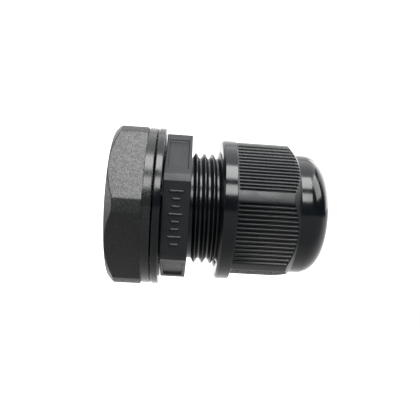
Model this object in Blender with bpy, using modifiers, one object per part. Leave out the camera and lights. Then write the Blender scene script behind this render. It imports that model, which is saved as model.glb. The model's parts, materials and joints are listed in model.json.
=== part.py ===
"""Cable gland with an M20 x 1.5 entry thread: a hollow threaded body with a hexagonal collar, a
flanged locknut and its sealing washer on the panel side, and a domed clamping cap over a ring of
claw fingers and a rubber seal on the cable side.

The common axis is X. The locknut is at -X, the domed cap at +X, and +Z is up. The origin is on
the axis, in the collar's sealing face, which is where the gland sits against its panel.
The cap is drawn 3 turns short of fully tightened.
"""

import math

import bmesh
import bpy
from mathutils import Matrix, Vector

MM = 0.001
RIGHT_ANGLE = math.radians(90)
SIXTH_TURN = math.radians(60)
SEGMENTS = 36  # facets in a full turn, shared by every turned face and thread

# Hexagonal collar on the body: the spanner holds it, and its left face seats on the washer.
COLLAR_FLATS = 24.0 * MM
COLLAR_CORNER_R = 13.5 * MM
COLLAR_WIDTH = 4.6 * MM
COLLAR_TURN = math.radians(39)  # where a corner is, from +Y towards +Z
RECESS_BORDER = 0.55 * MM
RECESS_HALF_LENGTH = 4.7 * MM
RECESS_DEPTH = 0.45 * MM
PLAIN_FLAT = 2  # counted from the corner at COLLAR_TURN; the other five flats are sunk

# Both threads share the pitch. The flanks lean at 30 degrees.
PITCH = 1.5 * MM
FLANK = math.tan(math.radians(30))
CREST_WIDTH = 0.2 * MM
THREAD_ROOTED = 0.15 * MM  # how far a ridge goes into the wall it stands on
THREAD_START = math.radians(95)  # half a facet round, so that ridge and wall edges never coincide

# Panel-side thread, M20 x 1.5.
PANEL_CREST_R = 9.95 * MM
PANEL_ROOT_R = 9.1 * MM
BODY_LEFT = -9.6 * MM
PANEL_THREAD_X = -8.4 * MM
PANEL_THREAD_TURNS = 4.75

# Cap-side thread, the neck before it, and the body's mouth.
CAP_CREST_R = 10.35 * MM
CAP_ROOT_R = 9.45 * MM
BODY_RIGHT = 15.6 * MM
CAP_THREAD_X = 5.4 * MM
CAP_THREAD_TURNS = 5.75
BORE_R = 6.6 * MM
MOUTH_R = 8.65 * MM
MOUTH_DEPTH = 2.9 * MM
END_CHAMFER = 0.4 * MM

# Locknut: a hexagon with trimmed corners and a round flange that presses on the washer.
NUT_LEFT = -9.17 * MM
NUT_RIGHT = -1.65 * MM
NUT_FLATS = 27.4 * MM
NUT_CORNER_R = 15.2 * MM
NUT_TURN = math.radians(1)
NUT_CHAMFER = 1.4 * MM
NUT_END_R = 13.6 * MM  # just inside the flats, so the chamfer rings the whole end
NUT_HEAD_ROOTED = 0.1 * MM  # how far the hexagon reaches into the flange
FLANGE_R = 14.4 * MM
FLANGE_WIDTH = 1.5 * MM
NUT_MINOR_R = 9.35 * MM
NUT_MAJOR_R = 10.25 * MM
NUT_THREAD_TURNS = 3.25
NUT_THREAD_OFFSET = 0.5 * PITCH  # so that the nut's ridge lies midway between the body's

# Sealing washer, loose between the locknut and the collar.
WASHER_LEFT = -1.45 * MM
WASHER_RIGHT = -0.2 * MM
WASHER_R = 14.5 * MM
WASHER_HOLE_R = 10.2 * MM

# Clamping cap: a round flange, a hexagonal grip, and a dome with the cable hole.
CAP_LEFT = 9.94 * MM
CAP_LENGTH = 19.5 * MM
CAP_FLANGE_R = 13.0 * MM
CAP_FLANGE_WIDTH = 2.5 * MM
GRIP_FLATS = 23.2 * MM
GRIP_CORNER_R = 12.9 * MM
GRIP_TURN = math.radians(49)
GRIP_ROOTED = 1.7 * MM  # how far the grip reaches back into the flange
GRIP_RIGHT = 13.6 * MM  # from the cap's left face, as every length below
GRIP_CHAMFER_START = 12.1 * MM
GRIP_END_R = 11.4 * MM
DOME_R = 11.15 * MM
DOME_SHOULDER = 15.3 * MM
DOME_REACH = 4.0 * MM
DOME_DROP = 4.4 * MM
DOME_STEPS = 9
CAP_MINOR_R = 9.75 * MM
CAP_MAJOR_R = 10.65 * MM
CAP_THREAD_TURNS_INSIDE = 5.25
CAP_THREAD_OFFSET = 4.5 * PITCH  # so that the cap's ridge lies midway between the body's
CAP_THREAD_END = 10.9 * MM
CAVITY_R = 9.0 * MM
CONE_START = 15.7 * MM
CONE_END = 18.7 * MM
CABLE_HOLE_R = 6.4 * MM
HOLE_ROUNDING = 0.5 * MM

# Clamping insert: a claw ring seated in the body's mouth, its fingers, and the seal inside.
CLAW_GAP = 0.3 * MM
CLAW_R = 8.4 * MM
CLAW_WALL = 1.2 * MM
CLAW_RING_RIGHT = 16.0 * MM
FINGER_COUNT = 12
FINGER_LENGTH = 6.5 * MM
FINGER_ARC = math.radians(22)
FINGER_ARC_STEPS = 4
FINGER_CHAMFER = 0.5 * MM
FINGER_CLOSED = math.radians(5.385)  # how far the half-tightened cap has closed them
SEAL_R = 6.9 * MM
SEAL_TIP_R = 6.25 * MM
SEAL_BORE_R = 5.4 * MM
SEAL_RIGHT = 20.0 * MM
SEAL_LIP = 0.5 * MM

SHARP_ANGLE = math.radians(35)


def clear_scene():
    for obj in list(bpy.data.objects):
        bpy.data.objects.remove(obj, do_unlink=True)


def new_collection(name):
    collection = bpy.data.collections.new(name)
    bpy.context.scene.collection.children.link(collection)
    return collection


def new_object(name, mesh, collection):
    obj = bpy.data.objects.new(name, mesh)
    collection.objects.link(obj)
    return obj


def as_helper(obj):
    """Marks an object that only shapes others."""
    obj.hide_render = True
    obj.display_type = "WIRE"
    return obj


def material(name, colour, roughness):
    made = bpy.data.materials.new(name)
    made.use_nodes = True
    shader = made.node_tree.nodes["Principled BSDF"]
    shader.inputs["Base Color"].default_value = (*colour, 1.0)
    shader.inputs["Roughness"].default_value = roughness
    shader.inputs["Metallic"].default_value = 0.0
    return made


def turned(name, profile, collection):
    """A solid turned about the X axis. The profile lists (x, radius); one whose ends are on the
    axis makes a solid bar, and any other is closed up into a ring."""
    mesh = bpy.data.meshes.new(name)
    shape = bmesh.new()
    points = [shape.verts.new((x, radius, 0)) for x, radius in profile]
    for first, second in zip(points, points[1:]):
        shape.edges.new((first, second))
    if profile[0][1] > 0:
        shape.edges.new((points[-1], points[0]))
    shape.to_mesh(mesh)
    shape.free()
    obj = new_object(name, mesh, collection)
    screw = obj.modifiers.new("turn", "SCREW")
    screw.axis = "X"
    screw.angle = math.radians(360)
    screw.steps = SEGMENTS
    screw.render_steps = SEGMENTS
    screw.use_merge_vertices = True
    screw.merge_threshold = 1e-6
    screw.use_normal_flip = winding(profile) < 0
    return obj


def winding(profile):
    """Twice the signed area inside the profile, positive when it runs from +x towards +radius."""
    following = profile[1:] + profile[:1]
    return sum(x0 * r1 - x1 * r0 for (x0, r0), (x1, r1) in zip(profile, following))


def hexagon(name, flats, left, right, turn, collection):
    """A hexagonal bar along X with a corner at the angle turn."""
    mesh = bpy.data.meshes.new(name)
    shape = bmesh.new()
    corner_r = flats / 2 / math.cos(math.radians(30))
    bmesh.ops.create_cone(
        shape, cap_ends=True, segments=6, radius1=corner_r, radius2=corner_r, depth=right - left
    )
    # create_cone stands along Z with a corner at +Y; after this it lies along X.
    lie_down = Matrix.Rotation(turn, 4, "X") @ Matrix.Rotation(RIGHT_ANGLE, 4, "Y")
    place = Matrix.Translation(((left + right) / 2, 0, 0)) @ lie_down
    bmesh.ops.transform(shape, matrix=place, verts=shape.verts)
    shape.to_mesh(mesh)
    shape.free()
    return new_object(name, mesh, collection)


def ridge(name, root_r, crest_r, start_x, turns, collection):
    """A right-hand helical thread ridge standing on the radius root_r, outwards where crest_r is
    the larger and inwards where it is the smaller."""
    outwards = 1 if crest_r > root_r else -1
    base_r = root_r - outwards * THREAD_ROOTED
    crest = CREST_WIDTH / 2
    base = crest + abs(crest_r - base_r) * FLANK
    outline = ((-base, base_r), (-crest, crest_r), (crest, crest_r), (base, base_r))
    steps = round(turns * SEGMENTS)
    mesh = bpy.data.meshes.new(name)
    shape = bmesh.new()
    direction = Vector((0, math.cos(THREAD_START), math.sin(THREAD_START)))
    corners = [shape.verts.new(direction * radius + Vector((start_x + x, 0, 0))) for x, radius in outline]
    face = shape.faces.new(corners)
    bmesh.ops.spin(
        shape,
        geom=corners + list(face.edges) + [face],
        cent=(0, 0, 0),
        axis=(1, 0, 0),
        dvec=(PITCH / SEGMENTS, 0, 0),
        angle=math.radians(360) * steps / SEGMENTS,
        steps=steps,
    )
    bmesh.ops.recalc_face_normals(shape, faces=shape.faces)
    shape.to_mesh(mesh)
    shape.free()
    return as_helper(new_object(name, mesh, collection))


def combine(obj, operation, *others):
    """Adds one Boolean modifier for each of the others, which become helpers."""
    for other in others:
        as_helper(other)
        boolean = obj.modifiers.new(f"{operation.lower()} {other.name}", "BOOLEAN")
        boolean.operation = operation
        boolean.solver = "EXACT"
        boolean.object = other
    return obj


def finish(obj, finish_material):
    """Applies the modifiers, smooths the round faces and gives the object its material."""
    graph = bpy.context.evaluated_depsgraph_get()
    mesh = bpy.data.meshes.new_from_object(obj.evaluated_get(graph))
    obj.modifiers.clear()
    obj.data = mesh
    mesh.name = obj.name
    mesh.shade_smooth()
    mesh.set_sharp_from_angle(angle=SHARP_ANGLE)
    mesh.materials.clear()
    mesh.materials.append(finish_material)
    return obj


def make_body(parts, helpers, plastic):
    """The hollow body: collar, panel-side thread, neck, cap-side thread and stepped bore."""
    body = turned(
        "gland_body",
        [
            (BODY_LEFT, 0),
            (BODY_LEFT, PANEL_ROOT_R - END_CHAMFER),
            (BODY_LEFT + END_CHAMFER, PANEL_ROOT_R),
            (COLLAR_WIDTH / 2, PANEL_ROOT_R),
            (COLLAR_WIDTH / 2, CAP_ROOT_R),
            (BODY_RIGHT - END_CHAMFER, CAP_ROOT_R),
            (BODY_RIGHT, CAP_ROOT_R - END_CHAMFER),
            (BODY_RIGHT, 0),
        ],
        parts,
    )
    collar = hexagon("collar_hexagon", COLLAR_FLATS, 0, COLLAR_WIDTH, COLLAR_TURN, helpers)
    trim = turned(
        "collar_trim",
        [(-MM, 0), (-MM, COLLAR_CORNER_R), (COLLAR_WIDTH + MM, COLLAR_CORNER_R), (COLLAR_WIDTH + MM, 0)],
        helpers,
    )
    combine(collar, "INTERSECT", trim)
    for flat in range(6):
        if flat != PLAIN_FLAT:
            combine(collar, "DIFFERENCE", collar_recess(flat, helpers))
    bore = turned(
        "body_bore",
        [
            (BODY_LEFT - MM, 0),
            (BODY_LEFT - MM, BORE_R),
            (BODY_RIGHT - MOUTH_DEPTH, BORE_R),
            (BODY_RIGHT - MOUTH_DEPTH, MOUTH_R),
            (BODY_RIGHT + MM, MOUTH_R),
            (BODY_RIGHT + MM, 0),
        ],
        helpers,
    )
    panel_thread = ridge(
        "panel_thread", PANEL_ROOT_R, PANEL_CREST_R, PANEL_THREAD_X, PANEL_THREAD_TURNS, helpers
    )
    cap_thread = ridge(
        "cap_side_thread", CAP_ROOT_R, CAP_CREST_R, CAP_THREAD_X, CAP_THREAD_TURNS, helpers
    )
    combine(body, "UNION", collar, panel_thread, cap_thread)
    combine(body, "DIFFERENCE", bore)
    return finish(body, plastic)


def collar_recess(flat, helpers):
    """The cutter for the shallow framed panel in one flat of the collar."""
    mesh = bpy.data.meshes.new("collar_recess")
    shape = bmesh.new()
    bmesh.ops.create_cube(shape, size=1)
    size = (COLLAR_WIDTH - 2 * RECESS_BORDER, 2 * RECESS_DEPTH, 2 * RECESS_HALF_LENGTH)
    bmesh.ops.scale(shape, vec=size, verts=shape.verts)
    bmesh.ops.translate(shape, vec=(COLLAR_WIDTH / 2, COLLAR_FLATS / 2, 0), verts=shape.verts)
    shape.to_mesh(mesh)
    shape.free()
    cutter = new_object(f"collar_recess_{flat}", mesh, helpers)
    cutter.rotation_euler.x = COLLAR_TURN + (flat + 0.5) * SIXTH_TURN
    return cutter


def make_locknut(parts, helpers, plastic):
    """A flanged hexagonal nut, chamfered at its outer end. Its corners stand proud of the flange."""
    nut = turned(
        "locknut",
        [
            (NUT_RIGHT - FLANGE_WIDTH, 0),
            (NUT_RIGHT - FLANGE_WIDTH, FLANGE_R),
            (NUT_RIGHT, FLANGE_R),
            (NUT_RIGHT, 0),
        ],
        parts,
    )
    head_right = NUT_RIGHT - FLANGE_WIDTH + NUT_HEAD_ROOTED
    head = hexagon("nut_hexagon", NUT_FLATS, NUT_LEFT, head_right, NUT_TURN, helpers)
    trim = turned(
        "nut_trim",
        [
            (NUT_LEFT - MM, 0),
            (NUT_LEFT - MM, NUT_END_R),
            (NUT_LEFT, NUT_END_R),
            (NUT_LEFT + NUT_CHAMFER, NUT_CORNER_R),
            (NUT_RIGHT, NUT_CORNER_R),
            (NUT_RIGHT, 0),
        ],
        helpers,
    )
    combine(head, "INTERSECT", trim)
    bore = turned(
        "nut_bore",
        [(NUT_LEFT - MM, 0), (NUT_LEFT - MM, NUT_MAJOR_R), (NUT_RIGHT + MM, NUT_MAJOR_R), (NUT_RIGHT + MM, 0)],
        helpers,
    )
    thread_x = PANEL_THREAD_X + NUT_THREAD_OFFSET
    thread = ridge("nut_thread", NUT_MAJOR_R, NUT_MINOR_R, thread_x, NUT_THREAD_TURNS, helpers)
    combine(bore, "DIFFERENCE", thread)
    combine(nut, "UNION", head)
    combine(nut, "DIFFERENCE", bore)
    return finish(nut, plastic)


def make_washer(parts, rubber):
    washer = turned(
        "sealing_washer",
        [
            (WASHER_LEFT, WASHER_HOLE_R),
            (WASHER_LEFT, WASHER_R),
            (WASHER_RIGHT, WASHER_R),
            (WASHER_RIGHT, WASHER_HOLE_R),
        ],
        parts,
    )
    return finish(washer, rubber)


def dome_point(angle):
    """A point on the dome's elliptical shoulder: 0 is where it leaves the straight wall."""
    return (
        CAP_LEFT + DOME_SHOULDER + DOME_REACH * math.sin(angle),
        DOME_R - DOME_DROP + DOME_DROP * math.cos(angle),
    )


def make_cap(parts, helpers, plastic):
    """The domed clamping cap: flange, hexagonal grip, dome, cavity, closing cone and thread."""
    cap_right = CAP_LEFT + CAP_LENGTH
    rim_angle = math.acos((CABLE_HOLE_R + HOLE_ROUNDING - DOME_R + DOME_DROP) / DOME_DROP)
    dome = [dome_point(rim_angle * step / DOME_STEPS) for step in range(DOME_STEPS + 1)]
    cap = turned(
        "cap",
        [(CAP_LEFT + CAP_FLANGE_WIDTH / 2, 0), (CAP_LEFT + CAP_FLANGE_WIDTH / 2, DOME_R)]
        + dome
        + [(cap_right, CABLE_HOLE_R), (cap_right, 0)],
        parts,
    )
    flange = turned(
        "cap_flange",
        [
            (CAP_LEFT, 0),
            (CAP_LEFT, CAP_FLANGE_R - END_CHAMFER),
            (CAP_LEFT + END_CHAMFER, CAP_FLANGE_R),
            (CAP_LEFT + CAP_FLANGE_WIDTH, CAP_FLANGE_R),
            (CAP_LEFT + CAP_FLANGE_WIDTH, 0),
        ],
        helpers,
    )
    grip_left = CAP_LEFT + CAP_FLANGE_WIDTH - GRIP_ROOTED
    grip = hexagon("cap_grip", GRIP_FLATS, grip_left, CAP_LEFT + GRIP_RIGHT, GRIP_TURN, helpers)
    trim = turned(
        "grip_trim",
        [
            (CAP_LEFT, 0),
            (CAP_LEFT, GRIP_CORNER_R),
            (CAP_LEFT + GRIP_CHAMFER_START, GRIP_CORNER_R),
            (CAP_LEFT + GRIP_RIGHT, GRIP_END_R),
            (CAP_LEFT + GRIP_RIGHT + MM, GRIP_END_R),
            (CAP_LEFT + GRIP_RIGHT + MM, 0),
        ],
        helpers,
    )
    combine(grip, "INTERSECT", trim)
    hollow = turned(
        "cap_hollow",
        [
            (CAP_LEFT - MM, 0),
            (CAP_LEFT - MM, CAP_MAJOR_R),
            (CAP_LEFT + CAP_THREAD_END, CAP_MAJOR_R),
            (CAP_LEFT + CAP_THREAD_END, CAVITY_R),
            (CAP_LEFT + CONE_START, CAVITY_R),
            (CAP_LEFT + CONE_END, CABLE_HOLE_R),
            (cap_right + MM, CABLE_HOLE_R),
            (cap_right + MM, 0),
        ],
        helpers,
    )
    thread_x = CAP_THREAD_X + CAP_THREAD_OFFSET
    thread = ridge("cap_thread", CAP_MAJOR_R, CAP_MINOR_R, thread_x, CAP_THREAD_TURNS_INSIDE, helpers)
    combine(hollow, "DIFFERENCE", thread)
    combine(cap, "UNION", flange, grip)
    combine(cap, "DIFFERENCE", hollow)
    return finish(cap, plastic)


def make_claw_ring(parts, plastic):
    left = BODY_RIGHT - MOUTH_DEPTH + CLAW_GAP
    ring = turned(
        "claw_ring",
        [
            (left, CLAW_R - CLAW_WALL),
            (left, CLAW_R),
            (CLAW_RING_RIGHT, CLAW_R),
            (CLAW_RING_RIGHT, CLAW_R - CLAW_WALL),
        ],
        parts,
    )
    return finish(ring, plastic)


def make_seal(parts, rubber):
    """A rubber sleeve, straight inside the claw ring and tapered where the fingers close on it."""
    left = BODY_RIGHT - MOUTH_DEPTH + CLAW_GAP
    seal = turned(
        "rubber_seal",
        [
            (left, SEAL_BORE_R + SEAL_LIP),
            (left, SEAL_R),
            (CLAW_RING_RIGHT, SEAL_R),
            (SEAL_RIGHT, SEAL_TIP_R),
            (SEAL_RIGHT, SEAL_BORE_R + SEAL_LIP),
            (SEAL_RIGHT - SEAL_LIP, SEAL_BORE_R),
            (left + SEAL_LIP, SEAL_BORE_R),
        ],
        parts,
    )
    return finish(seal, rubber)


def finger_mesh(hinge_r):
    """One claw finger, pointing along +X from its hinge and curved about the gland's axis."""
    inner = CLAW_R - CLAW_WALL
    left, right = CLAW_GAP / 2, CLAW_GAP / 2 + FINGER_LENGTH
    outline = (
        (left, inner),
        (left, CLAW_R),
        (right - FINGER_CHAMFER, CLAW_R),
        (right, CLAW_R - FINGER_CHAMFER),
        (right, inner),
    )
    mesh = bpy.data.meshes.new("claw_finger")
    shape = bmesh.new()
    start = Vector((0, math.cos(FINGER_ARC / 2), -math.sin(FINGER_ARC / 2)))
    corners = [shape.verts.new(start * radius + Vector((x, 0, 0))) for x, radius in outline]
    face = shape.faces.new(corners)
    bmesh.ops.spin(
        shape,
        geom=corners + list(face.edges) + [face],
        cent=(0, 0, 0),
        axis=(1, 0, 0),
        angle=FINGER_ARC,
        steps=FINGER_ARC_STEPS,
    )
    bmesh.ops.translate(shape, vec=(0, -hinge_r, 0), verts=shape.verts)
    bmesh.ops.recalc_face_normals(shape, faces=shape.faces)
    shape.to_mesh(mesh)
    shape.free()
    return mesh


def make_fingers(parts, plastic):
    """The claw fingers, each with its origin on the living hinge where it joins the claw ring."""
    hinge_x = CLAW_RING_RIGHT + CLAW_GAP / 2
    hinge_r = CLAW_R - CLAW_WALL / 2
    mesh = finger_mesh(hinge_r)
    for number in range(FINGER_COUNT):
        angle = math.radians(360) * number / FINGER_COUNT
        finger = new_object(f"claw_finger_{number + 1:02d}", mesh, parts)
        around = Matrix.Rotation(angle, 4, "X")
        out = Matrix.Translation((hinge_x, hinge_r, 0))
        finger.matrix_world = around @ out @ Matrix.Rotation(-FINGER_CLOSED, 4, "Z")
        finish(finger, plastic)


def main():
    clear_scene()
    parts = new_collection("cable_gland")
    helpers = new_collection("cutters")
    nylon = material("black nylon", (0.018, 0.018, 0.02), 0.42)
    nut_nylon = material("black nylon, spark-textured", (0.03, 0.03, 0.032), 0.55)
    cap_nylon = material("black nylon, polished", (0.015, 0.015, 0.017), 0.3)
    claw_nylon = material("black nylon, claws", (0.02, 0.02, 0.022), 0.45)
    rubber = material("black rubber", (0.014, 0.014, 0.015), 0.5)
    make_body(parts, helpers, nylon)
    make_locknut(parts, helpers, nut_nylon)
    make_washer(parts, rubber)
    make_cap(parts, helpers, cap_nylon)
    make_claw_ring(parts, claw_nylon)
    make_seal(parts, rubber)
    make_fingers(parts, claw_nylon)


main()
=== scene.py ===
"""The finished look of the cable gland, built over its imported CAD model.

Every moulding is a surface worked out on a grid: one parameter goes round the gland's axis and the
other follows the moulding's outline. Threads are outlines carried along a helix. Everything is in
the CAD frame: the axis is X, the locknut is at -X, the domed cap at +X and +Z is up. An angle
round the axis is measured from +Y towards +Z.
"""

import json
import math

import bpy
import numpy as np
from mathutils import Matrix, Vector

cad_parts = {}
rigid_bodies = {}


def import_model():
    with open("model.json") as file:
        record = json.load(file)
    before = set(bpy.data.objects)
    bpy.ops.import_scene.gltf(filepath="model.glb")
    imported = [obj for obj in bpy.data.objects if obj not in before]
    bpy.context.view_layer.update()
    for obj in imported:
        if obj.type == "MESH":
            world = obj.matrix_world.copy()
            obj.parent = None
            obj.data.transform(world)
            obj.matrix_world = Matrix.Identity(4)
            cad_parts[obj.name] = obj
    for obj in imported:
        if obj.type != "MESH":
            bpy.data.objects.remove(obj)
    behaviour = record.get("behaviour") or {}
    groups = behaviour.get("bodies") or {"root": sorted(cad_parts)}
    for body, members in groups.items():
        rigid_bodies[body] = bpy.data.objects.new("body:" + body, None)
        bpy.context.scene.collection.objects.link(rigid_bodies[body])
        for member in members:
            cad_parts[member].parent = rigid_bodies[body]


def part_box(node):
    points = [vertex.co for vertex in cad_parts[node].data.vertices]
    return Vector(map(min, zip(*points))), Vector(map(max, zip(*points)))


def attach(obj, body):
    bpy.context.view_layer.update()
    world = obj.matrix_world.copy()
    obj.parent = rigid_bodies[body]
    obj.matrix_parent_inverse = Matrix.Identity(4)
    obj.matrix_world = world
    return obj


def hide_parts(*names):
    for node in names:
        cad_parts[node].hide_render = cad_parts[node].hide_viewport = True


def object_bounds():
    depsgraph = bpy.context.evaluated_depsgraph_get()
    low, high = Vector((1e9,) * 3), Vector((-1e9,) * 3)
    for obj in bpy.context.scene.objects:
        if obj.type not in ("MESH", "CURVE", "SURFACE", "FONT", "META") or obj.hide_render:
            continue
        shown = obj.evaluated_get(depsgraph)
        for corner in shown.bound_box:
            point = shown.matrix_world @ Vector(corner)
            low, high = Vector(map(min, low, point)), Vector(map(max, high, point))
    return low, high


MM = 0.001
FULL_TURN = 2 * math.pi
SIXTH = FULL_TURN / 6

# Surfaces.
ROUNDING_STEPS = 4  # along a rounded corner
CORNER_BLEND = 0.03 * MM  # where a hexagon's flat meets its trimmed corner

# Body.
COLLAR_FLATS = 24.0 * MM
COLLAR_CORNER_R = 13.5 * MM
COLLAR_WIDTH = 4.6 * MM
COLLAR_TURN = math.radians(39)
RECESS_BORDER = 0.55 * MM
RECESS_DEPTH = 0.45 * MM
RECESS_EDGE = math.radians(21.4)  # how far the sunk panel reaches to each side of a flat's middle
PLAIN_FLAT = 2  # this flat has no sunk panel, and carries the raised marks instead
PANEL_CREST_R = 9.95 * MM
PANEL_ROOT_R = 9.1 * MM
NECK_R = 9.45 * MM
CAP_SIDE_CREST_R = 10.35 * MM
BORE_R = 6.6 * MM
MOUTH_R = 8.65 * MM
MOUTH_DEPTH = 2.9 * MM
END_CHAMFER = 0.4 * MM

# Threads: both have this pitch, and flanks that lean at 30 degrees.
PITCH = 1.5 * MM
FLANK = math.tan(math.radians(30))
CREST_WIDTH = 0.2 * MM
THREAD_START = math.radians(95)
THREAD_RUN_OUT = 0.3  # of a turn, at both ends
THREAD_STEPS = 90  # in each turn
PANEL_THREAD_X = -8.4 * MM
PANEL_THREAD_TURNS = 4.75
CAP_SIDE_THREAD_X = 5.4 * MM
CAP_SIDE_THREAD_TURNS = 5.75
CAP_SIDE_LEAD_IN = 0.45  # of a turn, out of the collar's face

# Locknut.
NUT_FLATS = 27.4 * MM
NUT_CORNER_R = 15.2 * MM
NUT_TURN = math.radians(1)
NUT_CHAMFER = 1.4 * MM
NUT_END_R = 13.6 * MM
FLANGE_R = 14.4 * MM
FLANGE_WIDTH = 1.5 * MM
NUT_MINOR_R = 9.35 * MM
NUT_MAJOR_R = 10.25 * MM
NUT_THREAD_X = PANEL_THREAD_X + PITCH / 2  # half a pitch on: a ridge in the other one's groove
NUT_THREAD_TURNS = 3.25

# Sealing washer.
WASHER_HOLE_R = 10.2 * MM

# Cap. Lengths are from its left face.
CAP_FLANGE_R = 13.0 * MM
CAP_FLANGE_WIDTH = 2.5 * MM
GRIP_FLATS = 23.2 * MM
GRIP_CORNER_R = 12.9 * MM
GRIP_TURN = math.radians(49)
GRIP_RIGHT = 13.6 * MM
GRIP_CHAMFER_START = 12.1 * MM
GRIP_END_R = 11.4 * MM
GROOVES_PER_FACE = 14
GROOVE_DEPTH = 0.45 * MM
GROOVES_HALF_SPAN = math.radians(26.0)  # how far the grooves reach to each side of a face's middle
DOME_R = 11.15 * MM
DOME_SHOULDER = 15.3 * MM
DOME_REACH = 4.0 * MM
DOME_DROP = 4.4 * MM
CAP_MINOR_R = 9.75 * MM
CAP_MAJOR_R = 10.65 * MM
CAP_THREAD_X = CAP_SIDE_THREAD_X + 4.5 * PITCH
CAP_THREAD_TURNS = 5.25
CAP_THREAD_END = 10.9 * MM
CAVITY_R = 9.0 * MM
CONE_START = 15.7 * MM
CONE_END = 18.7 * MM
CABLE_HOLE_R = 6.4 * MM
HOLE_ROUNDING = 0.5 * MM

# Clamping insert.
CLAW_R = 8.4 * MM
CLAW_WALL = 1.2 * MM
CLAW_GAP = 0.3 * MM
FINGER_COUNT = 12
FINGER_LENGTH = 6.5 * MM
FINGER_ARC = math.radians(22)
FINGER_CHAMFER = 0.5 * MM
FINGER_CLOSED = math.radians(5.385)
SEAL_R = 6.9 * MM
SEAL_TIP_R = 6.25 * MM
SEAL_BORE_R = 5.4 * MM
SEAL_LIP = 0.5 * MM

# Camera: where it stands, where it faces, and its lens in millimetres on a 36 mm sensor.
CAMERA_AT = Vector((3.36, -91.6, 0.0)) * MM
CAMERA_YAW = math.radians(3.322)
CAMERA_PITCH = math.radians(-0.144)
CAMERA_ROLL = math.radians(3.487)
CAMERA_LENS = 41.37

# Lights face this place in the gland's middle. The ceiling light is this far above it, in metres,
# and the others stand this far from it.
MIDDLE = Vector((10, 0, 0)) * MM
LIGHT_DISTANCE = 0.4


# ---------------------------------------------------------------- surfaces


def mesh_object(name, points, faces, edge):
    """An object from points and faces, turned outwards by the sign of its volume: a sum of every
    face's fan of tetrahedra to the origin. edge marks points on rounded edges, from 0 to 1."""
    points = np.ascontiguousarray(points, float).reshape(-1, 3)
    quads = np.array([face for face in faces if len(face) == 4])
    a, b, c, d = (points[quads[:, k]] for k in range(4))
    volume = np.einsum("ij,ij->", a, np.cross(b, c)) + np.einsum("ij,ij->", a, np.cross(c, d))
    mesh = bpy.data.meshes.new(name)
    mesh.from_pydata(points, [], [face if volume > 0 else face[::-1] for face in faces])
    mesh.shade_smooth()
    # The edge values are kept at each point: the finishes lighten the colour there as a painted
    # highlight, and the plastic ones lower the roughness there as polish.
    painted_highlight_and_polish = mesh.attributes.new("edge_painted_highlight_and_polish", "FLOAT", "POINT")
    painted_highlight_and_polish.data.foreach_set("value", np.ascontiguousarray(edge, np.float32).ravel())
    mesh.validate()
    obj = bpy.data.objects.new(name, mesh)
    bpy.context.scene.collection.objects.link(obj)
    return obj


def grid_faces(rows, columns, wrap_rows):
    """Four-sided faces of a grid whose columns close on themselves, and its rows too if asked."""
    index = np.arange(rows * columns).reshape(rows, columns)
    here = index if wrap_rows else index[:-1]
    there = np.roll(index, -1, axis=0) if wrap_rows else index[1:]
    corners = (here, np.roll(here, -1, axis=1), np.roll(there, -1, axis=1), there)
    return np.stack(corners, axis=-1).reshape(-1, 4).tolist()


def rod_faces(rows, columns):
    """The faces of a grid that runs on from row to row, with its first and last rows filled in."""
    first = list(range(columns))
    last = [(rows - 1) * columns + point for point in first]
    return grid_faces(rows, columns, wrap_rows=False) + [first, last[::-1]]


def unit(vectors):
    """Each vector over its own length."""
    return vectors / np.maximum(np.linalg.norm(vectors, axis=-1, keepdims=True), 1e-12)


def outline(angles, *corners):
    """A closed outline at every angle, as (points, edge). A corner is (x, radius, rounding), each a
    number or one value per angle. Rounding replaces the corner by a parabola that leaves one side
    that far before the corner and meets the other that far after it, with one more point beyond
    each end, which keeps the flat beside it flat."""
    x, r = (np.stack([np.broadcast_to(c[k], angles.shape) for c in corners], 1) for k in (0, 1))
    corner = np.stack([x, r], axis=-1).astype(float)
    before, after = np.roll(corner, 1, axis=1), np.roll(corner, -1, axis=1)
    points, edge = [], []
    for k, (_, _, rounding) in enumerate(corners):
        if not rounding:
            points.append(corner[:, k : k + 1])
            edge.append([0.0])
            continue
        sides = [before[:, k] - corner[:, k], after[:, k] - corner[:, k]]
        reach = [np.minimum(rounding, 0.4 * np.linalg.norm(side, axis=-1)) for side in sides]
        start, end = (corner[:, k] + unit(s) * n[:, None] for s, n in zip(sides, reach))
        t = np.linspace(0, 1, ROUNDING_STEPS + 1)[None, :, None]
        bend = 2 * t * (1 - t) * corner[:, k : k + 1]
        curve = (1 - t) ** 2 * start[:, None] + bend + t**2 * end[:, None]
        lead, trail = (corner[:, k] + unit(s) * (1.2 * n)[:, None] for s, n in zip(sides, reach))
        points += [lead[:, None], curve, trail[:, None]]
        edge.append([0.0, *np.sin(np.linspace(0, math.pi, ROUNDING_STEPS + 1)), 0.0])
    return np.concatenate(points, axis=1), np.concatenate(edge)


def turned(name, angles, outline_and_edge):
    """The outline carried round the axis: its points (x, r) go to (x, r cos a, r sin a)."""
    points, edge = outline_and_edge
    x, r = points[..., 0], points[..., 1]
    around = np.stack([x, r * np.cos(angles)[:, None], r * np.sin(angles)[:, None]], axis=-1)
    faces = grid_faces(*x.shape, wrap_rows=True)
    return mesh_object(name, around, faces, np.broadcast_to(edge, x.shape))


def even_angles(count):
    """That many equal steps round one turn."""
    return np.arange(count) * FULL_TURN / count


def hexagon_angles(turn, from_middle):
    """Angles round a hexagon that has a corner at turn: the same list, measured from a flat's
    middle up to 30 degrees, on both sides of all six flats."""
    sector = np.concatenate([-from_middle[:0:-1], from_middle[:-1]])
    middles = turn + SIXTH * (np.arange(6) + 0.5)
    return (middles[:, None] + sector).ravel()


def soft_least(a, b, blend):
    """The lesser of two lengths, rounded over where they are within blend of each other."""
    share = np.clip(0.5 + 0.5 * (b - a) / blend, 0, 1)
    return b + (a - b) * share - blend * share * (1 - share)


def from_flat(angles, turn):
    """The angle from the middle of the nearest flat of a hexagon that has a corner at turn."""
    return (angles - turn) % SIXTH - SIXTH / 2


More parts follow.
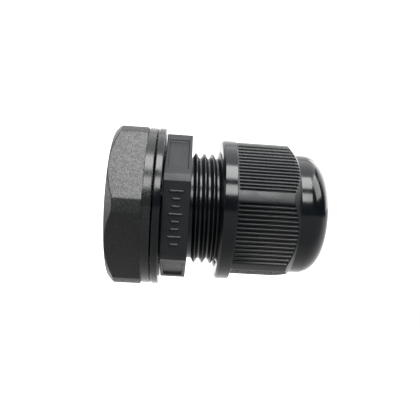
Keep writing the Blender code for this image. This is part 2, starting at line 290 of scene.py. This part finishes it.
def hexagon_radius(angles, flats, corner_r, turn):
    """Half the width across flats over the cosine of the angle from the flat's middle, held to
    the radius that the corners are trimmed to."""
    flat = flats / 2 / np.cos(from_flat(angles, turn))
    return soft_least(flat, corner_r, CORNER_BLEND)


def smooth_step(t):
    """Three t squared less two t cubed, which eases from 0 at t = 0 to 1 at t = 1."""
    t = np.clip(t, 0, 1)
    return t * t * (3 - 2 * t)


def thread(name, root_r, crest_r, start_x, turns, lead_in=0.0):
    """A right-hand thread ridge: its outline is carried along a helix that climbs one pitch in x
    for each turn, from lead_in of a turn before start_x. The outline is a trapezium with a rounded
    crest and hollow feet that stand a little inside the wall, and it sinks into the wall where the
    thread runs out."""
    outwards = 1 if crest_r > root_r else -1
    height, sunk = abs(crest_r - root_r), 0.12 * MM
    foot = CREST_WIDTH / 2 + height * FLANK
    half_across = np.array(
        [foot + 0.05 * MM, foot - 0.03 * MM, 0.62 * foot, 0.32 * foot, 0.11 * MM, 0.05 * MM]
    )
    half_up = np.array([-sunk, 0.05 * height, 0.45 * height, 0.85 * height, 0.97 * height, height])
    across = np.concatenate([-half_across, half_across[::-1]])
    up = np.concatenate([half_up, half_up[::-1]])
    # Crest points are marked 1: the finish paints a highlight in their colour and lowers their
    # roughness.
    edge = np.concatenate([[0, 0, 0, 0.4, 1, 1], [1, 1, 0.4, 0, 0, 0]])
    turn = np.linspace(-lead_in, turns, round((turns + lead_in) * THREAD_STEPS) + 1)[:, None]
    to_ends = (turn + lead_in, turns - turn)
    swell = math.prod(smooth_step(distance / THREAD_RUN_OUT) for distance in to_ends)
    radius = root_r + outwards * ((up + sunk) * swell - sunk - (1 - swell) * 0.03 * MM)
    angle = THREAD_START + FULL_TURN * turn
    x = start_x + PITCH * turn + across * (0.3 + 0.7 * swell)
    points = np.stack([x, radius * np.cos(angle), radius * np.sin(angle)], axis=-1)
    return mesh_object(name, points, rod_faces(*x.shape), np.broadcast_to(edge, x.shape))


# ---------------------------------------------------------------- mouldings


def make_body():
    """Bore, panel-side root, hexagonal collar with sunk panels in five flats, neck and mouth."""
    left, right = (corner.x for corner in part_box("gland_body"))
    from_middle = np.radians(  # closest at the sunk panel's edge and where the corner is trimmed
        [0, 2.5, 5, 7.5, 10, 12.5, 15, 17.5, 19.5, 20.6, 20.9, 21.15, 21.4, 21.65, 21.9, 22.4, 23.6]
        + [25, 26.2, 26.6, 26.9, 27.2, 27.5, 27.8, 28.2, 29, 30]
    )
    angles = hexagon_angles(COLLAR_TURN, from_middle)
    top = hexagon_radius(angles, COLLAR_FLATS, COLLAR_CORNER_R, COLLAR_TURN)
    sideways = from_flat(angles, COLLAR_TURN)
    wall, wall_angle = 0.06 * MM, math.radians(0.5)
    panel = smooth_step((RECESS_EDGE - abs(sideways)) / wall_angle + 0.5)
    flat_number = np.floor((angles - COLLAR_TURN) % FULL_TURN / SIXTH)
    panel = np.where(flat_number == PLAIN_FLAT, 0, panel)
    floor = top - panel * RECESS_DEPTH / np.cos(sideways)
    profile = outline(
        angles,
        (left, BORE_R, 0.2 * MM),
        (left, PANEL_ROOT_R - END_CHAMFER, 0.08 * MM),
        (left + END_CHAMFER, PANEL_ROOT_R, 0.08 * MM),
        (0, PANEL_ROOT_R, 0.1 * MM),
        (0, top, 0.16 * MM),
        (RECESS_BORDER, top, 0.07 * MM),
        (RECESS_BORDER + wall, floor, 0.07 * MM),
        (COLLAR_WIDTH - RECESS_BORDER - wall, floor, 0.07 * MM),
        (COLLAR_WIDTH - RECESS_BORDER, top, 0.07 * MM),
        (COLLAR_WIDTH, top, 0.16 * MM),
        (COLLAR_WIDTH, NECK_R, 0.15 * MM),
        (right - END_CHAMFER, NECK_R, 0.08 * MM),
        (right, NECK_R - END_CHAMFER, 0.08 * MM),
        (right, MOUTH_R, 0.1 * MM),
        (right - MOUTH_DEPTH, MOUTH_R, 0.1 * MM),
        (right - MOUTH_DEPTH, BORE_R, 0.2 * MM),
    )
    return turned("body_shell", angles, profile)


def make_collar_marks():
    """A plain scale of raised bars on one flat. Each bar is a rounded rectangle, a superellipse of
    power 6, whose size falls with height along a quarter circle, so its top is nearly round."""
    bars = 8
    spacing, width, height, rounding = 1.28 * MM, 0.42 * MM, 0.24 * MM, 0.19 * MM
    lengths = np.where(np.arange(bars) % 3 == 0, 2.5, 1.5) * MM
    along = (np.arange(bars) - (bars - 1) / 2) * spacing
    around = even_angles(20)
    power = 2 / 6
    circle = np.stack([np.cos(around), np.sin(around)], axis=-1)
    loop = np.sign(circle) * abs(circle) ** power / 2
    rise = np.linspace(0, math.pi / 2, 7)
    level_height = np.concatenate([[-0.05 * MM], height - rounding * (1 - np.sin(rise))])
    level_inset = np.concatenate([[0], rounding * (1 - np.cos(rise))])
    across = np.stack([lengths, np.full(bars, width)], axis=-1)
    size = across[:, None, :] - 2 * level_inset[None, :, None]
    flat = size[:, :, None, :] * loop
    x = flat[..., 0] + COLLAR_WIDTH / 2
    sideways = flat[..., 1] + along[:, None, None]
    out = COLLAR_FLATS / 2 + np.broadcast_to(level_height[None, :, None], x.shape)
    middle = COLLAR_TURN + (PLAIN_FLAT + 0.5) * SIXTH
    y = out * math.cos(middle) - sideways * math.sin(middle)
    z = out * math.sin(middle) + sideways * math.cos(middle)
    points = np.stack([x, y, z], axis=-1)
    levels, count = x.shape[1:]
    one_bar = rod_faces(levels, count)
    faces = [[v + bar * levels * count for v in face] for bar in range(bars) for face in one_bar]
    # Towards each bar's rounded top the finish paints a highlight in the colour and lowers the
    # roughness.
    painted_highlight_and_polish = np.broadcast_to((level_inset / rounding)[None, :, None], x.shape)
    return mesh_object("collar_marks", points, faces, painted_highlight_and_polish)


def make_locknut():
    """A hexagon whose outer end is cut by a cone, so each flat ends in an arc, and a round flange.
    The cone meets a flat where its radius equals the hexagon's at that angle."""
    left, right = (corner.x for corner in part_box("locknut"))
    from_middle = np.radians(  # closest where the corner is trimmed
        [0, 2, 4, 6, 8, 10, 12, 14, 15.5, 16.5, 17.5, 19, 21, 23]
        + [24.2, 24.8, 25.2, 25.6, 26, 26.4, 27, 28, 29, 30]
    )
    angles = hexagon_angles(NUT_TURN, from_middle)
    hexagon = hexagon_radius(angles, NUT_FLATS, NUT_CORNER_R, NUT_TURN)
    slope = (NUT_CORNER_R - NUT_END_R) / NUT_CHAMFER
    cone_meets = left + (hexagon - NUT_END_R) / slope
    flange_left, countersink = right - FLANGE_WIDTH, 0.35 * MM
    profile = outline(
        angles,
        (left, NUT_MAJOR_R + countersink, 0.06 * MM),
        (left, NUT_END_R, 0.12 * MM),
        (cone_meets, hexagon, 0.14 * MM),
        (flange_left, hexagon, 0.08 * MM),
        (flange_left, FLANGE_R, 0.08 * MM),
        (right, FLANGE_R, 0.25 * MM),
        (right, NUT_MAJOR_R + countersink, 0.06 * MM),
        (right - countersink, NUT_MAJOR_R, 0.06 * MM),
        (left + countersink, NUT_MAJOR_R, 0.06 * MM),
    )
    return turned("locknut_shell", angles, profile)


def make_washer():
    """A flat ring: a rectangle with rounded corners, carried round the axis."""
    low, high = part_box("sealing_washer")
    angles = even_angles(180)
    profile = outline(
        angles,
        (low.x, WASHER_HOLE_R, 0.12 * MM),
        (low.x, high.y, 0.22 * MM),
        (high.x, high.y, 0.22 * MM),
        (high.x, WASHER_HOLE_R, 0.12 * MM),
    )
    return turned("washer_ring", angles, profile)


def grip_angles():
    """Angles round the grip: eight for each groove and rib, evenly spaced along the flat, then a
    few across the smooth bar at the corner."""
    flat_at_edge = math.tan(GROOVES_HALF_SPAN)
    along = np.linspace(0, flat_at_edge, GROOVES_PER_FACE * 4 + 1)
    bar = np.linspace(GROOVES_HALF_SPAN, SIXTH / 2, 7)[1:]
    return hexagon_angles(GRIP_TURN, np.concatenate([np.arctan(along), bar]))


def groove_share(angles):
    """How deep the grip is cut at each angle, from 0 to 1: a rounded square wave along the flat,
    an even number of grooves with a rib in the middle."""
    sideways = from_flat(angles, GRIP_TURN)
    place = np.tan(sideways) / math.tan(GROOVES_HALF_SPAN) * GROOVES_PER_FACE / 2
    share = smooth_step(0.5 - 1.1 * np.cos(FULL_TURN * place))
    return np.where(abs(sideways) < GROOVES_HALF_SPAN, share, 0)


def make_cap():
    """Flange, grooved hexagonal grip with a conical right end, and a dome whose shoulder is a
    quarter of an ellipse."""
    left, right = (corner.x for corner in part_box("cap"))
    angles = grip_angles()
    grip = hexagon_radius(angles, GRIP_FLATS, GRIP_CORNER_R, GRIP_TURN)
    cut = GROOVE_DEPTH * groove_share(angles)
    slope = (GRIP_CORNER_R - GRIP_END_R) / (GRIP_RIGHT - GRIP_CHAMFER_START)
    cone_meets = left + GRIP_CHAMFER_START + (GRIP_CORNER_R - grip) / slope
    rim_angle = math.acos((CABLE_HOLE_R + HOLE_ROUNDING - DOME_R + DOME_DROP) / DOME_DROP)
    dome_left, dome_middle_r = left + DOME_SHOULDER, DOME_R - DOME_DROP
    dome = [
        (dome_left + DOME_REACH * math.sin(t), dome_middle_r + DOME_DROP * math.cos(t), 0)
        for t in np.linspace(0, rim_angle, 28)
    ]
    flange_right, countersink = left + CAP_FLANGE_WIDTH, 0.3 * MM
    profile = outline(
        angles,
        (left, CAP_MAJOR_R + countersink, 0.06 * MM),
        (left, CAP_FLANGE_R - END_CHAMFER, 0.1 * MM),
        (left + END_CHAMFER, CAP_FLANGE_R, 0.1 * MM),
        (flange_right, CAP_FLANGE_R, 0.14 * MM),
        (flange_right, grip, 0.1 * MM),
        (flange_right + 0.2 * MM, grip, 0),
        (flange_right + 0.45 * MM, grip - cut, 0),
        (cone_meets - 0.55 * MM, grip - cut, 0),
        (cone_meets - 0.2 * MM, grip - 0.5 * cut, 0),
        (cone_meets, grip, 0.1 * MM),
        (left + GRIP_RIGHT, GRIP_END_R, 0.1 * MM),
        (left + GRIP_RIGHT, DOME_R, 0.1 * MM),
        *dome,
        (right, CABLE_HOLE_R + 0.1 * MM, 0.06 * MM),
        (right - 0.3 * MM, CABLE_HOLE_R, 0.06 * MM),
        (left + CONE_END, CABLE_HOLE_R, 0.1 * MM),
        (left + CONE_START, CAVITY_R, 0.1 * MM),
        (left + CAP_THREAD_END, CAVITY_R, 0.1 * MM),
        (left + CAP_THREAD_END, CAP_MAJOR_R, 0.1 * MM),
        (left + countersink, CAP_MAJOR_R, 0.06 * MM),
    )
    return turned("cap_shell", angles, profile)


def make_claw_ring():
    """The plain ring that the fingers stand on: a rectangle carried round the axis."""
    low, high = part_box("claw_ring")
    angles = even_angles(120)
    profile = outline(
        angles,
        (low.x, CLAW_R - CLAW_WALL, 0.1 * MM),
        (low.x, CLAW_R, 0.15 * MM),
        (high.x, CLAW_R, 0.1 * MM),
        (high.x, CLAW_R - CLAW_WALL, 0.1 * MM),
    )
    return turned("claw_ring_shell", angles, profile)


def make_seal():
    """A sleeve, straight inside the claw ring and tapered under the fingers, with flared lips."""
    low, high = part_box("rubber_seal")
    ring_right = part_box("claw_ring")[1].x
    angles = even_angles(120)
    profile = outline(
        angles,
        (low.x, SEAL_BORE_R + SEAL_LIP, 0.12 * MM),
        (low.x, SEAL_R, 0.15 * MM),
        (ring_right, SEAL_R, 0.3 * MM),
        (high.x, SEAL_TIP_R, 0.15 * MM),
        (high.x, SEAL_BORE_R + SEAL_LIP, 0.12 * MM),
        (high.x - SEAL_LIP, SEAL_BORE_R, 0.3 * MM),
        (low.x + SEAL_LIP, SEAL_BORE_R, 0.3 * MM),
    )
    return turned("seal_sleeve", angles, profile)


def make_finger(number):
    """One claw finger: its outline is carried along an arc about the gland's axis and shrinks
    towards its own middle at both sides, which rounds them. A thin web at its foot is the living
    hinge. It is closed on its hinge and then turned to its place round the ring."""
    hinge_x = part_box("claw_ring")[1].x + CLAW_GAP / 2
    hinge_r = CLAW_R - CLAW_WALL / 2
    inner, foot, tip = CLAW_R - CLAW_WALL, CLAW_GAP / 2, CLAW_GAP / 2 + FINGER_LENGTH
    web, web_left = 0.16 * MM, -0.24 * MM
    points, edge = outline(
        np.zeros(1),
        (web_left, hinge_r - web, 0),
        (web_left, hinge_r + web, 0),
        (foot, hinge_r + web, 0.05 * MM),
        (foot, CLAW_R, 0.12 * MM),
        (tip - FINGER_CHAMFER, CLAW_R, 0.2 * MM),
        (tip, CLAW_R - FINGER_CHAMFER, 0.2 * MM),
        (tip, inner, 0.15 * MM),
        (foot, inner, 0.1 * MM),
        (foot, hinge_r - web, 0.05 * MM),
    )
    section = points[0]
    middle = np.array([foot + FINGER_LENGTH / 2, hinge_r])
    ease, rounding = np.linspace(0, math.pi / 2, 4), 0.1 * MM
    inset = rounding * (1 - np.sin(ease))
    shoulder = FINGER_ARC / 2 - rounding * (1 - np.cos(ease))[::-1] / hinge_r
    angles = np.concatenate([-shoulder[::-1], np.linspace(-0.8, 0.8, 5) * shoulder[0], shoulder])
    inset = np.concatenate([inset, np.zeros(5), inset[::-1]])
    towards = unit(middle - section)
    shrunk = section[None] + towards[None] * inset[:, None, None]
    x, r = shrunk[..., 0], shrunk[..., 1]
    y, z = r * np.cos(angles)[:, None] - hinge_r, r * np.sin(angles)[:, None]
    points = np.stack([x, y, z], axis=-1)
    place = (
        Matrix.Rotation(FULL_TURN * number / FINGER_COUNT, 4, "X")
        @ Matrix.Translation((hinge_x, hinge_r, 0))
        @ Matrix.Rotation(-FINGER_CLOSED, 4, "Z")
    )
    turn, shift = np.array(place.to_3x3()), np.array(place.translation)
    # The rounded edges carry the painted highlight and the polish.
    points, painted_highlight_and_polish = points @ turn.T + shift, np.broadcast_to(edge, x.shape)
    return mesh_object(f"finger_{number + 1:02d}", points, rod_faces(*x.shape), painted_highlight_and_polish)


# ---------------------------------------------------------------- finishes

RANGE_SOCKETS = ("From Min", "From Max", "To Min", "To Max")


def set_range(node, low, high, out_low, out_high):
    """Tells a Map Range node which range to read and which range to give."""
    for socket, value in zip(RANGE_SOCKETS, (low, high, out_low, out_high)):
        node.inputs[socket].default_value = value


class Finish:
    """A moulded black plastic or rubber, with sizes in millimetres, in Object coordinates."""

    def __init__(self, name):
        self.material = bpy.data.materials.new(name)
        self.material.use_nodes = True
        self.nodes, self.links = self.material.node_tree.nodes, self.material.node_tree.links
        self.shader = self.nodes["Principled BSDF"]
        self.shader.inputs["IOR"].default_value = 1.28
        where = self.nodes.new("ShaderNodeTexCoord")
        in_mm = self.nodes.new("ShaderNodeMapping")
        in_mm.inputs["Scale"].default_value = (1 / MM,) * 3
        self.links.new(where.outputs["Object"], in_mm.inputs["Vector"])
        self.place = in_mm.outputs["Vector"]

    def noise(self, size, detail=2.0, roughness=0.5):
        """Cloudy noise whose largest patches are about that size."""
        node = self.nodes.new("ShaderNodeTexNoise")
        node.inputs["Scale"].default_value = 1 / size
        node.inputs["Detail"].default_value = detail
        node.inputs["Roughness"].default_value = roughness
        self.links.new(self.place, node.inputs["Vector"])
        return node.outputs["Fac"]

    def cells(self, size):
        """The distance from the middle of the nearest crater."""
        node = self.nodes.new("ShaderNodeTexVoronoi")
        node.inputs["Scale"].default_value = 1 / size
        self.links.new(self.place, node.inputs["Vector"])
        return node.outputs["Distance"]

    def spread(self, value, low, high, out_low, out_high):
        """The range low to high stretched to the second range, and held at its ends."""
        node = self.nodes.new("ShaderNodeMapRange")
        set_range(node, low, high, out_low, out_high)
        self.links.new(value, node.inputs["Value"])
        return node.outputs["Result"]

    def maths(self, operation, a, b):
        """One sum on two values, each a number or another node's output."""
        node = self.nodes.new("ShaderNodeMath")
        node.operation = operation
        for socket, value in zip(node.inputs, (a, b)):
            if isinstance(value, (int, float)):
                socket.default_value = value
            else:
                self.links.new(value, socket)
        return node.outputs["Value"]

    def attribute(self, name):
        """A value that the mesh carries at each point."""
        node = self.nodes.new("ShaderNodeAttribute")
        node.attribute_name = name
        return node.outputs["Fac"]

    def outside(self, low, high, share):
        """1 where x is outside the range, and share inside it but for a soft edge."""
        split = self.nodes.new("ShaderNodeSeparateXYZ")
        self.links.new(self.place, split.inputs["Vector"])
        middle, half, soft_edge = (low + high) / 2, (high - low) / 2, 0.05
        off = self.maths("ABSOLUTE", self.maths("SUBTRACT", split.outputs["X"], middle), 0.0)
        return self.spread(off, half - soft_edge, half, share, 1.0)

    def blend(self, share, first, second):
        """A colour between the first and the second."""
        node = self.nodes.new("ShaderNodeMix")
        node.data_type = "RGBA"
        node.inputs[6].default_value = (*first, 1)
        node.inputs[7].default_value = (*second, 1)
        self.links.new(share, node.inputs[0])
        return node

    def bump(self, height, distance, under=None):
        """Relief that many metres deep, on top of the relief given as under."""
        node = self.nodes.new("ShaderNodeBump")
        node.inputs["Distance"].default_value = distance
        self.links.new(height, node.inputs["Height"])
        if under is not None:
            self.links.new(under, node.inputs["Normal"])
        return node.outputs["Normal"]


def black_moulding(name, roughness, grain_size, grain_depth, polished=()):
    """Near-black plastic: cloudy flow marks in the colour, patchy gloss, fine grain in the surface
    and rounded edges, polished by handling to a lower roughness and given a painted highlight in
    their colour. polished lists ranges of x, in millimetres, where the mould was mirror-finished."""
    finish = Finish(name)
    painted_highlight_and_polish = finish.attribute("edge_painted_highlight_and_polish")
    flow = finish.spread(finish.noise(6.0, detail=3.0), 0.35, 0.65, 0.0, 0.7)
    # Rounded edges are lighter in colour: a painted highlight.
    tone = finish.maths("ADD", flow, finish.maths("MULTIPLY", painted_highlight_and_polish, 0.3))
    colour = finish.blend(tone, (0.0008, 0.0011, 0.0015), (0.0030, 0.0036, 0.0045))
    finish.links.new(colour.outputs[2], finish.shader.inputs["Base Color"])
    patches, unevenness, edge_shine = finish.noise(1.7, detail=4.0), 0.05, 0.06
    gloss = finish.spread(patches, 0.3, 0.7, roughness - unevenness, roughness + unevenness)
    gloss = finish.maths("SUBTRACT", gloss, finish.maths("MULTIPLY", painted_highlight_and_polish, edge_shine))
    for low, high in polished:
        gloss = finish.maths("MULTIPLY", gloss, finish.outside(low, high, 0.45))
    finish.links.new(gloss, finish.shader.inputs["Roughness"])
    wavy = finish.bump(finish.noise(2.4, detail=1.0), 0.008 * MM)
    fine = finish.noise(grain_size, detail=3.0, roughness=0.6)
    grain = finish.bump(fine, grain_depth, under=wavy)
    finish.links.new(grain, finish.shader.inputs["Normal"])
    return finish.material


def spark_textured(name, polished):
    """Nylon from a spark-eroded mould: tiny crowded craters, each of which glints. Within the
    polished range of x, in millimetres, the mould was smooth."""
    finish = Finish(name)
    craters = finish.cells(0.34)
    fine = finish.noise(0.16, detail=3.0, roughness=0.7)
    painted_highlight_and_polish = finish.attribute("edge_painted_highlight_and_polish")
    speckle = finish.spread(craters, 0.1, 0.7, 0.0, 0.8)
    # Rounded edges are lighter in colour: a painted highlight.
    tone = finish.maths("ADD", speckle, finish.maths("MULTIPLY", painted_highlight_and_polish, 0.25))
    colour = finish.blend(tone, (0.0018, 0.0021, 0.0021), (0.0075, 0.0079, 0.0079))
    finish.links.new(colour.outputs[2], finish.shader.inputs["Base Color"])
    smooth = finish.outside(*polished, 0.0)
    patches = finish.spread(finish.noise(0.5, detail=3.0), 0.3, 0.7, 0.28, 0.44)
    gloss = finish.maths("MULTIPLY", patches, finish.outside(*polished, 0.6))
    finish.links.new(gloss, finish.shader.inputs["Roughness"])
    pitted = finish.bump(finish.maths("MULTIPLY", craters, smooth), 0.02 * MM)
    grain = finish.bump(finish.maths("MULTIPLY", fine, smooth), 0.02 * MM, under=pitted)
    finish.links.new(grain, finish.shader.inputs["Normal"])
    return finish.material


# ---------------------------------------------------------------- assembly


def settle(piece, body, node, finish):
    """Gives a piece its finish and its body, and hides the CAD node that it stands for."""
    piece.data.materials.append(finish)
    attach(piece, body)
    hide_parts(node)


def make_gland():
    """The finishes first, with their polished ranges along x in millimetres, then every piece."""
    cap_left, cap_right = (corner.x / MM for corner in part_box("cap"))
    grip_left, grip_right = cap_left + CAP_FLANGE_WIDTH / MM, cap_left + GRIP_RIGHT / MM
    mirror_finished = ((cap_left - 1, grip_left), (grip_right, cap_right + 1))
    beyond_ends = 30
    glossy_threads = ((-beyond_ends, 0), (COLLAR_WIDTH / MM, beyond_ends))
    body_nylon = black_moulding("body nylon", 0.5, 0.12, 0.003 * MM, polished=glossy_threads)
    nut_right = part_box("locknut")[1].x / MM
    smooth_flange = (nut_right - FLANGE_WIDTH / MM, nut_right + 1)
    nut_nylon = spark_textured("locknut nylon", polished=smooth_flange)
    washer_rubber = black_moulding("washer rubber", 0.17, 0.3, 0.003 * MM)
    cap_nylon = black_moulding("cap nylon", 0.32, 0.12, 0.0015 * MM, polished=mirror_finished)
    claw_nylon = black_moulding("claw nylon", 0.36, 0.12, 0.006 * MM)
    seal_rubber = black_moulding("seal rubber", 0.5, 0.2, 0.01 * MM)

    panel_thread = thread(
        "panel_thread", PANEL_ROOT_R, PANEL_CREST_R, PANEL_THREAD_X, PANEL_THREAD_TURNS
    )
    cap_side_thread = thread(
        "cap_side_thread",
        NECK_R,
        CAP_SIDE_CREST_R,
        CAP_SIDE_THREAD_X,
        CAP_SIDE_THREAD_TURNS,
        lead_in=CAP_SIDE_LEAD_IN,
    )
    for piece in (make_body(), panel_thread, cap_side_thread, make_collar_marks()):
        settle(piece, "gland_body", "gland_body", body_nylon)

    nut_thread = thread(
        "locknut_thread", NUT_MAJOR_R, NUT_MINOR_R, NUT_THREAD_X, NUT_THREAD_TURNS
    )
    for piece in (make_locknut(), nut_thread):
        settle(piece, "locknut", "locknut", nut_nylon)

    settle(make_washer(), "washer", "sealing_washer", washer_rubber)

    cap_thread = thread("cap_thread", CAP_MAJOR_R, CAP_MINOR_R, CAP_THREAD_X, CAP_THREAD_TURNS)
    for piece in (make_cap(), cap_thread):
        settle(piece, "cap", "cap", cap_nylon)

    settle(make_claw_ring(), "clamping_insert", "claw_ring", claw_nylon)
    settle(make_seal(), "clamping_insert", "rubber_seal", seal_rubber)
    for number in range(FINGER_COUNT):
        finger = f"claw_finger_{number + 1:02d}"
        settle(make_finger(number), finger, finger, claw_nylon)


# ---------------------------------------------------------------- studio


def make_floor(lowest):
    """A pale floor that curves up into a wall behind the gland: a straight line, a quarter circle
    and a second straight line, carried along X. It glows more under and behind the gland: a painted
    pool of light, which the gland's lower faces reflect."""
    radius, front, back, height, half_width = 0.15, -0.5, 0.2, 0.5, 0.8
    bend = np.linspace(0, math.pi / 2, 24)
    y = np.concatenate([[front, -0.1, 0.1], back + radius * np.sin(bend), [back + radius]])
    z = lowest + np.concatenate([[0, 0, 0], radius * (1 - np.cos(bend)), [height]])
    across = np.linspace(-half_width, half_width, 9)
    points = np.stack(np.broadcast_arrays(across[:, None], y, z), axis=-1).reshape(-1, 3)
    index = np.arange(len(points)).reshape(len(across), len(y))
    corners = (index[:-1, :-1], index[1:, :-1], index[1:, 1:], index[:-1, 1:])
    mesh = bpy.data.meshes.new("floor")
    mesh.from_pydata(points, [], np.stack(corners, axis=-1).reshape(-1, 4).tolist())
    mesh.shade_smooth()
    floor = bpy.data.objects.new("floor", mesh)
    bpy.context.scene.collection.objects.link(floor)
    paper = bpy.data.materials.new("pale floor with painted light pool")
    paper.use_nodes = True
    shader = paper.node_tree.nodes["Principled BSDF"]
    shader.inputs["Base Color"].default_value = (0.03, 0.03, 0.03, 1)
    shader.inputs["Roughness"].default_value = 0.9
    shader.inputs["Specular IOR Level"].default_value = 0.0
    shader.inputs["Emission Color"].default_value = (1, 1, 1, 1)
    nodes, links = paper.node_tree.nodes, paper.node_tree.links
    where = nodes.new("ShaderNodeTexCoord")
    split = nodes.new("ShaderNodeSeparateXYZ")
    # Painted light: the glow rises from 0.86 in front of the gland to 1.6 under and behind it.
    painted_light_pool = nodes.new("ShaderNodeMapRange")
    set_range(painted_light_pool, -16 * MM, -6 * MM, 0.86, 1.6)
    links.new(where.outputs["Object"], split.inputs["Vector"])
    links.new(split.outputs["Y"], painted_light_pool.inputs["Value"])
    links.new(painted_light_pool.outputs["Result"], shader.inputs["Emission Strength"])
    floor.data.materials.append(paper)


def polar(azimuth, elevation):
    """A light's place from the gland's middle: azimuth 0 is in front, at -Y, and 90 is to the
    right, at +X."""
    a, e = math.radians(azimuth), math.radians(elevation)
    direction = Vector((math.sin(a) * math.cos(e), -math.cos(a) * math.cos(e), math.sin(e)))
    return LIGHT_DISTANCE * direction


def softbox(name, from_middle, width, height, brightness):
    """An area light that faces the gland. Its power is its brightness times its area times pi."""
    light = bpy.data.lights.new(name, "AREA")
    light.shape = "RECTANGLE"
    light.size, light.size_y = width, height
    light.energy = brightness * math.pi * width * height
    lamp = bpy.data.objects.new(name, light)
    bpy.context.scene.collection.objects.link(lamp)
    lamp.location = MIDDLE + from_middle
    lamp.rotation_euler = (-from_middle).to_track_quat("-Z", "Y").to_euler()


def make_backdrop():
    """A dark room for reflections, which the camera sees as white beyond the floor's edge."""
    world = bpy.data.worlds.new("studio")
    bpy.context.scene.world = world
    world.use_nodes = True
    nodes, links = world.node_tree.nodes, world.node_tree.links
    room, backdrop = nodes["Background"], nodes.new("ShaderNodeBackground")
    room.inputs["Color"].default_value = (0.02, 0.02, 0.02, 1)
    backdrop.inputs["Color"].default_value = (1, 1, 1, 1)
    seen, shown = nodes.new("ShaderNodeLightPath"), nodes.new("ShaderNodeMixShader")
    links.new(seen.outputs["Is Camera Ray"], shown.inputs[0])
    links.new(room.outputs["Background"], shown.inputs[1])
    links.new(backdrop.outputs["Background"], shown.inputs[2])
    links.new(shown.outputs["Shader"], nodes["World Output"].inputs["Surface"])


def make_lights():
    """A broad ceiling light, and below it in front two long lights, one above the other, with a
    dark gap between them. A third stands to the right of the dome. Two weaker ones catch the
    nut's cut corners from the left and the dome's edge from behind."""
    softbox("ceiling light", Vector((0, 0.06, LIGHT_DISTANCE)), 0.6, 0.4, 3.2)
    softbox("upper front light", polar(0, 62), 0.3, 0.17, 27.0)
    softbox("lower front light", polar(0, 32), 0.3, 0.11, 25.0)
    softbox("right light", polar(64, 42), 0.22, 0.27, 13.0)
    softbox("left light", polar(-95, 8), 0.25, 0.25, 6.0)
    softbox("back right light", polar(125, 24), 0.33, 0.3, 3.0)


def make_camera():
    """Faces along the yaw and pitch, then rolls about the line of sight. Tones are shown as they
    are worked out."""
    flat, rise = math.cos(CAMERA_PITCH), math.sin(CAMERA_PITCH)
    level = Vector((math.cos(CAMERA_YAW), -math.sin(CAMERA_YAW), 0))
    ahead = Vector((math.sin(CAMERA_YAW) * flat, math.cos(CAMERA_YAW) * flat, rise))
    up = level.cross(ahead)
    right = math.cos(CAMERA_ROLL) * level + math.sin(CAMERA_ROLL) * up
    above = math.cos(CAMERA_ROLL) * up - math.sin(CAMERA_ROLL) * level
    data = bpy.data.cameras.new("camera")
    data.lens, data.sensor_width, data.clip_start = CAMERA_LENS, 36, 0.01
    camera = bpy.data.objects.new("camera", data)
    bpy.context.scene.collection.objects.link(camera)
    facing = Matrix((right, above, -ahead)).transposed().to_4x4()
    camera.matrix_world = Matrix.Translation(CAMERA_AT) @ facing
    bpy.context.scene.camera = camera
    bpy.context.scene.view_settings.view_transform = "Standard"


for leftover in list(bpy.data.objects):
    bpy.data.objects.remove(leftover, do_unlink=True)
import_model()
cad_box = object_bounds()
make_gland()
make_floor(cad_box[0].z)
make_backdrop()
make_lights()
make_camera()
